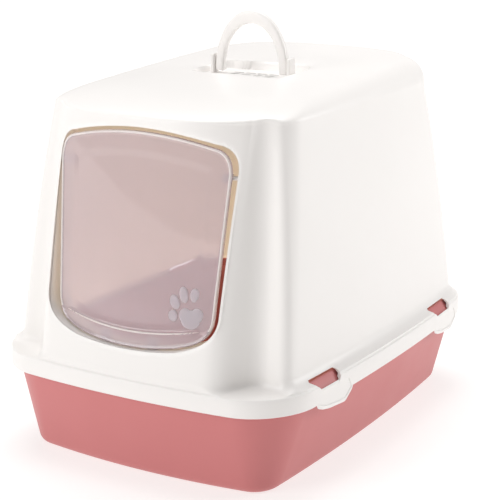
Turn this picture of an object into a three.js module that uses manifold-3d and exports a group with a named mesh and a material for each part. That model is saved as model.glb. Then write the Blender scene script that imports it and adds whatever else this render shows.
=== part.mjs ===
// Hooded cat litter box: a drafted tray, a lift-off hood with fluted corners, a swing door,
// a carrying handle, a slide-out charcoal filter and four flexing snap tabs.
// Millimetres, +Z up, front facing -Y, origin at the middle of the tray's underside.
import * as THREE from 'three';
import { mergeVertices } from 'three/addons/utils/BufferGeometryUtils.js';
import Module from 'manifold-3d';

const wasm = await Module();
wasm.setup();

// ---------------------------------------------------------------- driving dimensions
const LENGTH = 500;               // along Y, over the skirt
const WIDTH = 375;                // along X, over the skirt
const WALL = 2.2;                 // moulded wall of hood and tray
const FIT = 0.35;                 // gap between separate pieces

const BOW_SIDE = 0.061;           // how far the long sides fall back towards their ends
const BOW_END = 0.065;            // the same for front and back
const SKIRT_RADIUS = 58;          // plan corner radius of the skirt

const SKIRT_LOW = 91;             // lower edge of the skirt
const LEDGE = 110;                // top of the skirt, the ledge under each flute
const LEDGE_RISE = 2;             // how much the ledge slopes
const LEDGE_WALL = 1.3;           // its wall, measured upright, against the plain wall
const FLARE_HEIGHT = 15;          // panels sweep out to the skirt over this height
const SIDE_HALF = 174;            // side panels, half width carried down to ledge height
const SIDE_LEAN = 0.063;          // their inward lean per mm of height, and how it grows
const SIDE_CURVE = 0.000115;
const CORNER_LOSS = 0.074;        // corner radius lost per mm of height
const END_HALF = 248;             // front and back panels, the same
const END_LEAN = 0.153;
const SWEEP_HALF = 112;           // front and back fall back towards this half width
const SWEEP = 5.8;                // by this much at the ledge, and more with height
const SWEEP_GAIN = 0.05;
const SWEEP_CURVE = 0.00016;
const ROOF_START = 366;           // height where the wall begins to round over
const ROOF_LEVEL = 391;           // the roof over the handle's pivot
const ROOF_SLOPE = 0.051;         // the roof rises towards the back
const ROOF_CAMBER = 3;            // and falls by this much
const CAMBER_HALF = 130;          // at this half width
const ROOF_ROUND = 25;            // how far in the rounded edge reaches
const BROW_ROUND = 87;            // the same over the front, a long soft brow

const WALL_HEIGHTS = [170, 220, 270, 315, 345];       // where the walls have rings
const ROOF_TURNS = [0, 0.22, 0.42, 0.62, 0.8, 1];      // and the rounding over to the roof
const CROWN_SCALES = [0.6, 0.04];                      // and the roof's middle

const FLUTE_X = 130;              // concave corner line of a flute, at ledge height
const FLUTE_Y = 200;
const FLUTE_LEAN_X = 0.03;
const FLUTE_LEAN_Y = 0.133;
const FLUTE_WALL = new THREE.Vector2(0.87, 0.49).normalize();   // normal of its inner wall
const FLUTE_FLOOR = new THREE.Vector2(-0.12, 1).normalize();     // normal of its wide floor
const FLUTE_TOP = 381;            // the flute runs out here
const FLUTE_FILLET = 12;
const FLUTE_EDGE = 6;
const FLUTE_FROM = 44;            // plan angles between which a flute lies, in degrees
const FLUTE_TO = 67;

// Door and doorway outlines share one recipe: an arched top edge, rounded shoulders,
// sides that narrow downwards, big lower corners and a shallow lower arc.
const DOOR = {
  top: 354.4, shoulderX: 82, shoulderZ: 344, shoulderDrop: 26, half: 101.5, halfLow: 94,
  cornerZ: 180, lowHalf: 56, lowZ: 146.5, bottom: 141.4,
};
const DOORWAY = {
  top: 358.4, shoulderX: 84, shoulderZ: 347.5, shoulderDrop: 28, half: 106.3, halfLow: 103.3,
  cornerZ: 182, lowHalf: 58, lowZ: 144.8, bottom: 140,
};
const SHOULDER_LIFT = 3;          // how far below its ends a shoulder's control point sits
const CORNER_DROP = 24;           // pulls of the big lower corner's curve
const CORNER_PULL_X = 1.5;
const SILL_PULL_X = 20;
const SILL_PULL_Z = 5;
const DOOR_THICK = 2.2;
const DOOR_LEAN = 0.135;          // the door leans back less than the front does
const DOOR_RECESS = 3.5;          // door face behind the front's face, at the hinge's height
const DOOR_BULGE = 13;            // the door is a shallow arch in plan
const SHEET_HALF = 118;           // half span of the arch the door is cut from
const SHEET_STEPS = 14;
const SHEET_HEIGHT = 260;
const FRONT_CUT = -300;           // cuts through the front start here and run this deep
const FRONT_CUT_DEPTH = 180;
const JAMB_DEPTH = 24;            // return wall round the doorway, front to back
const JAMB_FRONT = 20;            // its blank starts this far in front of the door's face
const STOP_LOW = 140;             // two stop ribs on the sill, behind the door's lower edge
const STOP_HIGH = 153;
const STOP_NEAR = 22;
const STOP_FAR = 34;
const STOP_DEPTH = 5;
const HINGE_Y = -192;
const HINGE_Z = 315;
const PIN_RADIUS = 2.3;
const BARREL_RADIUS = 4.4;
const PIN_END = 107.4;            // pins end in a hole in the doorway's return wall
const PIN_OVERLAP = 7.4;          // length of pin inside a barrel
const BARREL_LENGTH = 8;
const BARREL_INSET = 4;           // barrel ends sit inside the door's edges
const BORE_GAP = 0.4;             // clearance round the pin in the barrel

const HANDLE_Y = 11;
const HANDLE_PIVOT_Z = 391;
const HANDLE_OUTER = 45.5;        // half width over the legs
const HANDLE_RISE = 63.5;         // pivot to top of the arch
const HANDLE_FOOT = 4.8;          // the legs run on below the pivot
const HANDLE_BAND = 10.5;
const HANDLE_CROWN = 15;          // the band is deeper at the top of the arch
const HANDLE_DEPTH = 9;
const STUB_RADIUS = 2.4;
const LUG_THICK = 4;
const LUG_DEPTH = 13;
const LUG_TOP = 405;
const LUG_SPACE = 0.4;            // side play between a lug and the handle's leg
const JOIN = 1;                   // how deep joined bodies run into each other

const WELL_HALF_X = 58;           // shallow well the handle stands in
const WELL_HALF_Y = 40;
const WELL_Y = 10;
const WELL_RADIUS = 14;
const WELL_FLOOR = 383.5;

const SLOT_LENGTH = 13;           // vents between the handle's legs
const SLOT_WIDTH = 5;
const SLOT_PITCH_X = 15;
const SLOT_PITCH_Y = 10;
const SLOT_COLUMNS = 4;
const SLOT_ROWS = 3;

const CASSETTE_LENGTH = 104;      // along X
const CASSETTE_WIDTH = 74;
const CASSETTE_HEIGHT = 13;
const CASSETTE_LOW = 367.5;
const CASSETTE_WALL = 2;
const CASSETTE_CELLS = 6;         // openings in its floor
const CELL_MARGIN = 7;
const CELL_RIB = 3;
const PULL_TAB_HALF = 14;         // finger tab at its front
const PULL_TAB_REACH = 5;
const PAD_RADIUS = 3;
const PAD_DROP = 0.5;             // pad top below the cassette's rim
const RAIL_WEB = 2;
const RAIL_FOOT = 4.5;

const TRAY_RIM = 105;             // top of the tray, just under the hood's ledge
const TRAY_LIP_LOW = 93;
const TRAY_BOTTOM_HALF_X = 154;   // over the walls just above the bottom rounding
const TRAY_BOTTOM_HALF_Y = 223.5;
const TRAY_BOTTOM_RADIUS = 24;
const TRAY_TOP_RADIUS = 54;
const TRAY_ROUND = 9;             // radius between walls and floor
const TRAY_WALL = 2.4;
const TRAY_LIP = 5;               // how far the rim band stands out

const CATCH_TOP = 113.5;          // raised part of the tray's rim behind each window
const CATCH_INSET = 2.7;          // it leans in by this much past the wall's line
const CATCH_THICK = 2.4;
const CATCH_FROM = -172;          // its ends along Y
const CATCH_TO = -108;

// Outlines in (y, z) of the front window and the front tab; the rear ones are the same,
// moved along the side.
const WINDOW_OUTLINE = [
  [-157, 101], [-130, 101], [-123, 113.5], [-126, 116.5], [-173, 116.5], [-175, 115],
];
const TAB_TOP = 101.5;
const TAB_BOTTOM = 82.5;
const TAB_OUTLINE = [
  [-165, TAB_TOP], [-167, 90.6], [-158, 87.3], [-146, 85], [-116, TAB_BOTTOM], [-103, 91], [-109, TAB_TOP],
];
const TAB_FRONT_SHIFT = 0;
const TAB_REAR_SHIFT = 280;
const SIDE_CUT = 160;             // cuts through a side start here and run this deep
const SIDE_CUT_DEPTH = 40;
const CUT_OVER = 5;               // how far cutting bodies stand past what they cut

// ---------------------------------------------------------------- colours
const white = new THREE.MeshStandardMaterial({ color: 0xfbf6f1, roughness: 0.28, metalness: 0 });
const rose = new THREE.MeshStandardMaterial({ color: 0xd07a84, roughness: 0.42, metalness: 0 });
const smoke = new THREE.MeshStandardMaterial({
  color: 0xcdb9b6, roughness: 0.18, metalness: 0, transparent: true, opacity: 0.55,
});
const charcoal = new THREE.MeshStandardMaterial({ color: 0x232323, roughness: 0.95, metalness: 0 });

// ---------------------------------------------------------------- solids
function solid(geometry) {
  const bare = geometry.index ? geometry.toNonIndexed() : geometry.clone();
  bare.deleteAttribute('normal');
  bare.deleteAttribute('uv');
  const merged = mergeVertices(bare, 1e-4);
  return new wasm.Manifold(new wasm.Mesh({
    numProp: 3,
    vertProperties: new Float32Array(merged.attributes.position.array),
    triVerts: new Uint32Array(merged.index.array),
  }));
}

function geometryOf(body) {
  const mesh = body.getMesh();
  const geometry = new THREE.BufferGeometry();
  geometry.setAttribute('position', new THREE.BufferAttribute(mesh.vertProperties.slice(), 3));
  geometry.setIndex(new THREE.BufferAttribute(mesh.triVerts.slice(), 1));
  geometry.computeVertexNormals();
  return geometry;
}

const box = (x0, x1, y0, y1, z0, z1) => {
  const shape = new THREE.BoxGeometry(x1 - x0, y1 - y0, z1 - z0);
  return solid(shape.translate((x0 + x1) / 2, (y0 + y1) / 2, (z0 + z1) / 2));
};

// A round bar along X.
const barX = (radius, x0, x1, y, z, sides = 20) => {
  const bar = new THREE.CylinderGeometry(radius, radius, x1 - x0, sides);
  return solid(bar.rotateZ(-Math.PI / 2).translate((x0 + x1) / 2, y, z));
};

// A flat outline in (x, z), given depth along +Y from y0.
const slabXZ = (shape, y0, depth, curveSegments = 8) => {
  const slab = new THREE.ExtrudeGeometry(shape, { depth, bevelEnabled: false, curveSegments });
  return solid(slab.rotateX(Math.PI / 2).translate(0, y0 + depth, 0));
};

// A flat slab with rounded corners, middle at (0, y).
function roundedSlab(length, width, radius, z0, z1, y) {
  const shape = new THREE.Shape();
  const [a, b] = [length / 2, width / 2];
  shape.absarc(a - radius, -b + radius, radius, -Math.PI / 2, 0);
  shape.absarc(a - radius, b - radius, radius, 0, Math.PI / 2);
  shape.absarc(-a + radius, b - radius, radius, Math.PI / 2, Math.PI);
  shape.absarc(-a + radius, -b + radius, radius, Math.PI, 1.5 * Math.PI);
  const slab = new THREE.ExtrudeGeometry(shape, { depth: z1 - z0, bevelEnabled: false, curveSegments: 4 });
  return solid(slab.translate(0, y, z0));
}

// The ends of a span along X, in order, on either side of the box.
const span = (side, near, far) => (side > 0 ? [near, far] : [-far, -near]);

const joinAll = (bodies) => bodies.reduce((all, body) => all.add(body));

// ---------------------------------------------------------------- plan outlines
// Directions round the plan, closer together at the corners.
function planDirections(sideSteps, cornerSteps, endSteps) {
  const quarter = [];
  const addSpan = (from, to, steps) => {
    for (let i = 0; i < steps; i += 1) quarter.push(from + ((to - from) * i) / steps);
  };
  addSpan(0, FLUTE_FROM, sideSteps);
  addSpan(FLUTE_FROM, FLUTE_TO, cornerSteps);
  addSpan(FLUTE_TO, 90, endSteps);
  const all = [];
  quarter.forEach((a) => all.push(a));
  all.push(90);
  quarter.slice(1).reverse().forEach((a) => all.push(180 - a));
  all.push(180);
  quarter.slice(1).forEach((a) => all.push(180 + a));
  all.push(270);
  quarter.slice(1).reverse().forEach((a) => all.push(360 - a));
  return all.map((a) => THREE.MathUtils.degToRad(a));
}

// Signed distance to a rounded rectangle; its long sides are gently bowed, and its front and
// back fall back from the middle by half.setback(x).
function planOutline(x, y, half) {
  const bow = 1 - BOW_SIDE * (y / half.y) ** 2;
  const qx = Math.abs(x) / bow - (half.x - half.r);
  const qy = Math.abs(y) + half.setback(x) - (half.y - half.r);
  return Math.hypot(Math.max(qx, 0), Math.max(qy, 0)) + Math.min(Math.max(qx, qy), 0) - half.r;
}

const softMin = (a, b, k) => {
  const h = Math.max(k - Math.abs(a - b), 0) / k;
  return Math.min(a, b) - (h * h * k) / 4;
};
const softMax = (a, b, k) => -softMin(-a, -b, k);

// Positive inside the notch that a flute takes out of a corner.
function fluteNotch(x, y, z) {
  const dx = Math.abs(x) - (FLUTE_X - FLUTE_LEAN_X * (z - LEDGE));
  const dy = Math.abs(y) - (FLUTE_Y - FLUTE_LEAN_Y * (z - LEDGE));
  const wall = dx * FLUTE_WALL.x + dy * FLUTE_WALL.y;
  const floor = dx * FLUTE_FLOOR.x + dy * FLUTE_FLOOR.y;
  return softMin(softMin(wall, floor, FLUTE_FILLET), FLUTE_TOP - z, FLUTE_FILLET);
}

// Where a ray from the axis crosses the outline: bisection on the signed distance.
function crossing(angle, distance) {
  let near = 5;
  let far = 330;
  for (let i = 0; i < 40; i += 1) {
    const mid = (near + far) / 2;
    if (distance(mid * Math.cos(angle), mid * Math.sin(angle)) < 0) near = mid;
    else far = mid;
  }
  return [near * Math.cos(angle), near * Math.sin(angle)];
}

// Skins matching rings of points, bottom to top, and closes both ends.
function loft(rings) {
  const count = rings[0].length;
  const positions = rings.flat(2);
  const index = [];
  for (let k = 0; k + 1 < rings.length; k += 1) {
    for (let i = 0; i < count; i += 1) {
      const a = k * count + i;
      const b = k * count + ((i + 1) % count);
      index.push(a, b, b + count, a, b + count, a + count);
    }
  }
  const cap = (ring, start, flip) => {
    const middle = positions.length / 3;
    positions.push(0, 0, ring[Math.round(count / 4)][2]);
    for (let i = 0; i < count; i += 1) {
      const a = start + i;
      const b = start + ((i + 1) % count);
      index.push(...(flip ? [middle, b, a] : [middle, a, b]));
    }
  };
  cap(rings[0], 0, true);
  cap(rings[rings.length - 1], (rings.length - 1) * count, false);
  const geometry = new THREE.BufferGeometry();
  geometry.setAttribute('position', new THREE.Float32BufferAttribute(positions, 3));
  geometry.setIndex(index);
  return solid(geometry);
}

// ---------------------------------------------------------------- hood shape
// Half sizes of the bowed skirt outline, pulled in by inset.
function skirtHalf(inset = 0, radius = SKIRT_RADIUS) {
  const x = WIDTH / 2 - inset;
  const y = LENGTH / 2 - inset;
  return { x, y, r: radius, setback: (at) => BOW_END * y * (at / x) ** 2 };
}

const frontFace = (z) => END_HALF - END_LEAN * (z - LEDGE);

function hoodHalf(z) {
  const up = Math.max(z - LEDGE, 0);
  const flare = Math.max(1 - up / FLARE_HEIGHT, 0) ** 2;
  const sweep = SWEEP + SWEEP_GAIN * up + SWEEP_CURVE * up * up;
  return {
    x: SIDE_HALF - SIDE_LEAN * up - SIDE_CURVE * up * up + (WIDTH / 2 - 1 - SIDE_HALF) * flare,
    y: frontFace(z) + (LENGTH / 2 - 1 - END_HALF) * flare,
    r: SKIRT_RADIUS - CORNER_LOSS * up,
    setback: (x) => sweep * Math.min(Math.abs(x) / SWEEP_HALF, 1) ** 3,
  };
}

function ringAt(z, inset, half, directions) {
  return directions.map((a) => [...crossing(a, (x, y) => planOutline(x, y, half) + inset), z]);
}

function wallRing(z, inset, directions) {
  const half = hoodHalf(z);
  const at = (x, y) => softMax(planOutline(x, y, half), fluteNotch(x, y, z), FLUTE_EDGE) + inset;
  return directions.map((a) => [...crossing(a, at), z]);
}

const roofHeight = (x, y) => (
  ROOF_LEVEL + ROOF_SLOPE * (y - HANDLE_Y) - ROOF_CAMBER * (x / CAMBER_HALF) ** 2
);

// Rings of the rounded roof edge: t runs from the wall (0) to the roof (1). The front
// rounds over much further in than the sides and the back.
function roofRing(t, inset, directions) {
  const turn = (t * Math.PI) / 2;
  const bend = 1 - Math.cos(turn);
  const rise = Math.sin(turn);
  const wall = hoodHalf(ROOF_START);
  const half = {
    x: wall.x - ROOF_ROUND * bend,
    y: wall.y - ((ROOF_ROUND + BROW_ROUND) / 2) * bend,
    r: wall.r,
    setback: (x) => wall.setback(x) * (1 - t / 2),
  };
  const shift = ((BROW_ROUND - ROOF_ROUND) / 2) * bend;
  const level = ROOF_START + (ROOF_LEVEL - ROOF_START) * rise;
  const at = (x, y) => (
    softMax(planOutline(x, y - shift, half), fluteNotch(x, y, level), FLUTE_EDGE) + inset
  );
  return directions.map((a) => {
    const [x, y] = crossing(a, at);
    return [x, y, ROOF_START + (roofHeight(x, y) - ROOF_START - inset) * rise];
  });
}

function crownRing(edge, scale, inset) {
  return edge.map(([x, y]) => [x * scale, y * scale, roofHeight(x * scale, y * scale) - inset]);
}

// The hood as a filled body, pulled in by inset; the ledge moves down by the same amount.
function hoodBody(inset, low, directions) {
  const ledge = LEDGE - inset * LEDGE_WALL;
  const rings = [low, ledge].map((z) => ringAt(z, inset, skirtHalf(), directions));
  [LEDGE_RISE, FLARE_HEIGHT / 2, FLARE_HEIGHT].forEach((up) => (
    rings.push(wallRing(ledge + up, inset, directions))
  ));
  WALL_HEIGHTS.forEach((z) => rings.push(wallRing(z, inset, directions)));
  ROOF_TURNS.forEach((t) => rings.push(roofRing(t, inset, directions)));
  const edge = rings[rings.length - 1];
  CROWN_SCALES.forEach((scale) => rings.push(crownRing(edge, scale, inset)));
  return loft(rings);
}

const outerDirections = planDirections(4, 11, 4);
const innerDirections = planDirections(3, 8, 3);

// ---------------------------------------------------------------- doorway
// An outline in (x, z) from its measures; grow widens it all round.
function doorShape(spec, grow = 0) {
  const shape = new THREE.Shape();
  const top = spec.top + grow;
  const shoulderX = spec.shoulderX + grow * 0.7;
  const shoulderZ = spec.shoulderZ + grow;
  const sideTop = shoulderZ - spec.shoulderDrop;
  const half = spec.half + grow;
  const halfLow = spec.halfLow + grow;
  const lowHalf = spec.lowHalf + grow * 0.7;
  const lowZ = spec.lowZ - grow;
  const crownControl = 2 * top - shoulderZ;
  const bottomControl = 2 * (spec.bottom - grow) - lowZ;
  const pullX = halfLow - CORNER_PULL_X;
  const pullZ = spec.cornerZ - CORNER_DROP;
  const sillX = lowHalf + SILL_PULL_X;
  const sillZ = lowZ + SILL_PULL_Z;
  shape.moveTo(-shoulderX, shoulderZ);
  shape.quadraticCurveTo(0, crownControl, shoulderX, shoulderZ);
  shape.quadraticCurveTo(half, shoulderZ - SHOULDER_LIFT, half, sideTop);
  shape.lineTo(halfLow, spec.cornerZ);
  shape.bezierCurveTo(pullX, pullZ, sillX, sillZ, lowHalf, lowZ);
  shape.quadraticCurveTo(0, bottomControl, -lowHalf, lowZ);
  shape.bezierCurveTo(-sillX, sillZ, -pullX, pullZ, -halfLow, spec.cornerZ);
  shape.lineTo(-half, sideTop);
  shape.quadraticCurveTo(-half, shoulderZ - SHOULDER_LIFT, -shoulderX, shoulderZ);
  return shape;
}

// A curved sheet that follows the door's arch and lean, from one depth behind its face to
// another.
function doorSheet(near, far) {
  const arc = (depth) => Array.from({ length: SHEET_STEPS + 1 }, (_, i) => {
    const x = SHEET_HALF * ((2 * i) / SHEET_STEPS - 1);
    return new THREE.Vector2(x, DOOR_BULGE * (x / 100) ** 2 + depth);
  });
  const outline = new THREE.Shape([...arc(near), ...arc(far).reverse()]);
  const sheet = new THREE.ExtrudeGeometry(outline, { depth: SHEET_HEIGHT, bevelEnabled: false });
  const lean = new THREE.Matrix4().makeShear(0, 0, 0, 0, 0, DOOR_LEAN);
  const foot = DOOR_RECESS - frontFace(HINGE_Z) - DOOR_LEAN * (HINGE_Z - LEDGE);
  sheet.applyMatrix4(lean).translate(0, foot, LEDGE);
  return solid(sheet);
}

// The closed door lies on two ribs that stand on the sill.
function stopRib(side) {
  const [x0, x1] = span(side, STOP_NEAR, STOP_FAR);
  return doorSheet(DOOR_THICK + FIT, DOOR_THICK + STOP_DEPTH)
    .intersect(box(x0, x1, FRONT_CUT, 0, STOP_LOW, STOP_HIGH));
}

const doorPrism = (spec, grow = 0) => slabXZ(doorShape(spec, grow), FRONT_CUT, FRONT_CUT_DEPTH, 6);

// ---------------------------------------------------------------- skirt windows and tabs
// A flat outline in (y, z), moved along the side and given depth along X.
function slabYZ(outline, side, shift) {
  const shape = new THREE.Shape(outline.map(([y, z]) => new THREE.Vector2(y + shift, z)));
  const slab = new THREE.ExtrudeGeometry(shape, { depth: SIDE_CUT_DEPTH, bevelEnabled: false });
  slab.rotateX(Math.PI / 2).rotateZ(Math.PI / 2);
  slab.translate(span(side, SIDE_CUT, SIDE_CUT + SIDE_CUT_DEPTH)[0], 0, 0);
  return solid(slab);
}

// The tab's outline moved out from its middle, for the slot round it.
function grownTab(grow) {
  const middleY = (TAB_OUTLINE[0][0] + TAB_OUTLINE[TAB_OUTLINE.length - 1][0]) / 2;
  const rise = (z) => {
    if (z === TAB_TOP) return grow;
    return z < SKIRT_LOW ? -2 * grow : 0;
  };
  return TAB_OUTLINE.map(([y, z]) => [y + Math.sign(y - middleY) * grow, z + rise(z)]);
}

const corners = [
  { name: 'tab_front_right', side: 1, shift: TAB_FRONT_SHIFT },
  { name: 'tab_rear_right', side: 1, shift: TAB_REAR_SHIFT },
  { name: 'tab_front_left', side: -1, shift: TAB_FRONT_SHIFT },
  { name: 'tab_rear_left', side: -1, shift: TAB_REAR_SHIFT },
];

function tabBody({ side, shift }) {
  const skirt = (inset, over) => loft([TAB_BOTTOM - over, TAB_TOP + over]
    .map((z) => ringAt(z, inset, skirtHalf(), outerDirections)));
  return skirt(0, CUT_OVER).subtract(skirt(WALL, 2 * CUT_OVER)).intersect(slabYZ(TAB_OUTLINE, side, shift));
}

// ---------------------------------------------------------------- vents, lugs, rails
const well = (grow, low) => roundedSlab(
  2 * (WELL_HALF_X + grow), 2 * (WELL_HALF_Y + grow), WELL_RADIUS + grow, low, LUG_TOP, WELL_Y,
);

function ventSlots() {
  const slots = [];
  for (let row = 0; row < SLOT_ROWS; row += 1) {
    for (let column = 0; column < SLOT_COLUMNS; column += 1) {
      const x = (column - (SLOT_COLUMNS - 1) / 2) * SLOT_PITCH_X;
      const y = HANDLE_Y + (row - (SLOT_ROWS - 1) / 2) * SLOT_PITCH_Y;
      slots.push(box(x - SLOT_LENGTH / 2, x + SLOT_LENGTH / 2, y - SLOT_WIDTH / 2, y + SLOT_WIDTH / 2,
        WELL_FLOOR - 2 * WALL, WELL_FLOOR + WALL));
    }
  }
  return joinAll(slots);
}

function lug(side) {
  const inner = HANDLE_OUTER + FIT + LUG_SPACE;
  const [x0, x1] = span(side, inner, inner + LUG_THICK);
  const plate = box(x0, x1, HANDLE_Y - LUG_DEPTH / 2, HANDLE_Y + LUG_DEPTH / 2, WELL_FLOOR - JOIN, LUG_TOP);
  return plate.subtract(barX(STUB_RADIUS + FIT, x0 - 1, x1 + 1, HANDLE_Y, HANDLE_PIVOT_Z, 16));
}

function rail(side) {
  const inside = CASSETTE_LENGTH / 2 + FIT;
  const y0 = HANDLE_Y - CASSETTE_WIDTH / 2;
  const y1 = HANDLE_Y + CASSETTE_WIDTH / 2 + FIT + RAIL_WEB;
  const footLow = CASSETTE_LOW - FIT - RAIL_WEB;
  const web = box(...span(side, inside, inside + RAIL_WEB), y0, y1, footLow, WELL_FLOOR - JOIN);
  const foot = box(...span(side, inside - RAIL_FOOT, inside + RAIL_WEB), y0, y1, footLow, footLow + RAIL_WEB);
  return web.add(foot);
}

// ---------------------------------------------------------------- the pieces
function hood() {
  const outer = hoodBody(0, SKIRT_LOW, outerDirections).subtract(well(0, WELL_FLOOR));
  const inner = hoodBody(WALL, SKIRT_LOW - CUT_OVER, innerDirections).subtract(well(WALL, WELL_FLOOR - WALL));
  const jamb = doorPrism(DOORWAY, WALL).intersect(doorSheet(-JAMB_FRONT, JAMB_DEPTH)).intersect(outer);
  const shell = outer.subtract(inner).add(jamb).subtract(doorPrism(DOORWAY)).subtract(
    barX(PIN_RADIUS + FIT, -PIN_END - FIT, PIN_END + FIT, HINGE_Y, HINGE_Z, 16),
  );
  let body = joinAll([shell, stopRib(1), stopRib(-1), rail(1), rail(-1), lug(1), lug(-1)])
    .subtract(ventSlots());
  corners.forEach(({ side, shift }) => {
    body = body.subtract(slabYZ(WINDOW_OUTLINE, side, shift)).subtract(slabYZ(grownTab(FIT), side, shift));
  });
  return body;
}

// Tray sections: height, distance of the outer face from the rim outline.
function trayRing(z, inset) {
  const share = Math.min(z / TRAY_LIP_LOW, 1);
  const between = (low, high) => low + (high - low) * share;
  const rim = skirtHalf(WALL + FIT + TRAY_LIP);
  const y = between(TRAY_BOTTOM_HALF_Y, rim.y);
  const x = between(TRAY_BOTTOM_HALF_X, rim.x);
  const half = {
    x, y, r: between(TRAY_BOTTOM_RADIUS, TRAY_TOP_RADIUS), setback: (at) => BOW_END * y * (at / x) ** 2,
  };
  return ringAt(z, inset, half, outerDirections);
}

// A raised part of the rim behind a window, for the snap tab to hook over.
function trayCatch({ side, shift }) {
  const skin = (out, over) => loft([
    trayRing(TRAY_RIM - CUT_OVER - over, -out), trayRing(TRAY_RIM, -out),
    trayRing(CATCH_TOP + over, CATCH_INSET + TRAY_LIP - out),
  ]);
  const length = box(...span(side, 0, WIDTH / 2), CATCH_FROM + shift, CATCH_TO + shift, 0, CATCH_TOP + CUT_OVER);
  return skin(TRAY_LIP, 0).subtract(skin(TRAY_LIP - CATCH_THICK, 1)).intersect(length);
}

function tray() {
  const low = [0, 0.3, 1].map((t) => {
    const turn = (t * Math.PI) / 2;
    return trayRing(TRAY_ROUND * (1 - Math.cos(turn)), TRAY_ROUND * (1 - Math.sin(turn)));
  });
  const outer = loft([
    ...low,
    trayRing(TRAY_LIP_LOW - 2, 0), trayRing(TRAY_LIP_LOW, -TRAY_LIP), trayRing(TRAY_RIM, -TRAY_LIP),
  ]);
  const floor = [0, 0.4, 1].map((t) => {
    const turn = (t * Math.PI) / 2;
    return trayRing(TRAY_WALL + TRAY_ROUND * (1 - Math.cos(turn)), TRAY_WALL + TRAY_ROUND * (1 - Math.sin(turn)));
  });
  const inner = loft([
    ...floor, trayRing(TRAY_LIP_LOW - 4, TRAY_WALL), trayRing(TRAY_LIP_LOW, TRAY_WALL - 0.4),
    trayRing(TRAY_RIM + 5, TRAY_WALL - TRAY_LIP),
  ]);
  return joinAll([outer.subtract(inner), ...corners.map(trayCatch)]);
}

const barrelEnd = DOOR.half - BARREL_INSET;

function door() {
  let body = doorPrism(DOOR).intersect(doorSheet(0, DOOR_THICK));
  [1, -1].forEach((side) => {
    const [x0, x1] = span(side, barrelEnd - BARREL_LENGTH, barrelEnd);
    const web = doorSheet(DOOR_THICK / 2, 2 * BARREL_RADIUS).intersect(
      box(x0, x1, FRONT_CUT, HINGE_Y, HINGE_Z - BARREL_RADIUS + 1, HINGE_Z + BARREL_RADIUS - 1),
    );
    body = body.add(web).add(barX(BARREL_RADIUS, x0, x1, HINGE_Y, HINGE_Z))
      .subtract(barX(PIN_RADIUS + BORE_GAP, x0 - 1, x1 + 1, HINGE_Y, HINGE_Z, 16));
  });
  return body;
}

function hingePin(side) {
  const [x0, x1] = span(side, barrelEnd - PIN_OVERLAP, PIN_END);
  return barX(PIN_RADIUS, x0, x1, HINGE_Y, HINGE_Z, 16);
}

function handle() {
  const shape = new THREE.Shape();
  const base = HANDLE_PIVOT_Z;
  const inner = HANDLE_OUTER - HANDLE_BAND;
  shape.moveTo(HANDLE_OUTER, base - HANDLE_FOOT);
  shape.lineTo(HANDLE_OUTER, base);
  shape.absellipse(0, base, HANDLE_OUTER, HANDLE_RISE, 0, Math.PI);
  shape.lineTo(-HANDLE_OUTER, base - HANDLE_FOOT);
  shape.lineTo(-inner, base - HANDLE_FOOT);
  shape.lineTo(-inner, base);
  shape.absellipse(0, base, inner, HANDLE_RISE - HANDLE_CROWN, Math.PI, 0, true);
  shape.lineTo(inner, base - HANDLE_FOOT);
  shape.closePath();
  const arch = slabXZ(shape, HANDLE_Y - HANDLE_DEPTH / 2, HANDLE_DEPTH, 14);
  const reach = HANDLE_OUTER + LUG_THICK;
  const stubs = barX(STUB_RADIUS, HANDLE_OUTER - 2, reach, HANDLE_Y, base, 14)
    .add(barX(STUB_RADIUS, -reach, -HANDLE_OUTER + 2, HANDLE_Y, base, 14));
  return arch.add(stubs);
}

function filterCassette() {
  const [a, b] = [CASSETTE_LENGTH / 2, CASSETTE_WIDTH / 2];
  const [y0, y1] = [HANDLE_Y - b, HANDLE_Y + b];
  const w = CASSETTE_WALL;
  const top = CASSETTE_LOW + CASSETTE_HEIGHT;
  let body = box(-a, a, y0, y1, CASSETTE_LOW, top)
    .subtract(box(-a + w, a - w, y0 + w, y1 - w, CASSETTE_LOW + w, top + 1));
  const pitch = (CASSETTE_LENGTH - 2 * CELL_MARGIN) / CASSETTE_CELLS;
  for (let i = 0; i < CASSETTE_CELLS; i += 1) {
    const x0 = -a + CELL_MARGIN + i * pitch + CELL_RIB / 2;
    body = body.subtract(box(x0, x0 + pitch - CELL_RIB, y0 + CELL_MARGIN, y1 - CELL_MARGIN,
      CASSETTE_LOW - 1, CASSETTE_LOW + w + 1));
  }
  return body.add(box(-PULL_TAB_HALF, PULL_TAB_HALF, y0 - PULL_TAB_REACH, y0 + w, CASSETTE_LOW, CASSETTE_LOW + w));
}

function filterPad() {
  const [a, b] = [CASSETTE_LENGTH / 2 - CASSETTE_WALL - FIT, CASSETTE_WIDTH / 2 - CASSETTE_WALL - FIT];
  const low = CASSETTE_LOW + CASSETTE_WALL + FIT;
  return roundedSlab(2 * a, 2 * b, PAD_RADIUS, low, CASSETTE_LOW + CASSETTE_HEIGHT - PAD_DROP, HANDLE_Y);
}

// ---------------------------------------------------------------- assembly
const litterBox = new THREE.Group();

function place(name, body, material) {
  const mesh = new THREE.Mesh(geometryOf(body), material);
  mesh.name = name;
  litterBox.add(mesh);
}

place('tray', tray(), rose);
place('hood', hood(), white);
place('door_flap', door(), smoke);
place('hinge_pin_right', hingePin(1), white);
place('hinge_pin_left', hingePin(-1), white);
place('handle', handle(), white);
place('filter_cassette', filterCassette(), white);
place('filter_pad', filterPad(), charcoal);
corners.forEach((corner) => place(corner.name, tabBody(corner), white));

export default litterBox;
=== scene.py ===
"""Hooded cat litter box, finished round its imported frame: the same curves as the frame's
solids, worked out again as fine meshes, with procedural plastic materials, in metres."""

import math

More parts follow.
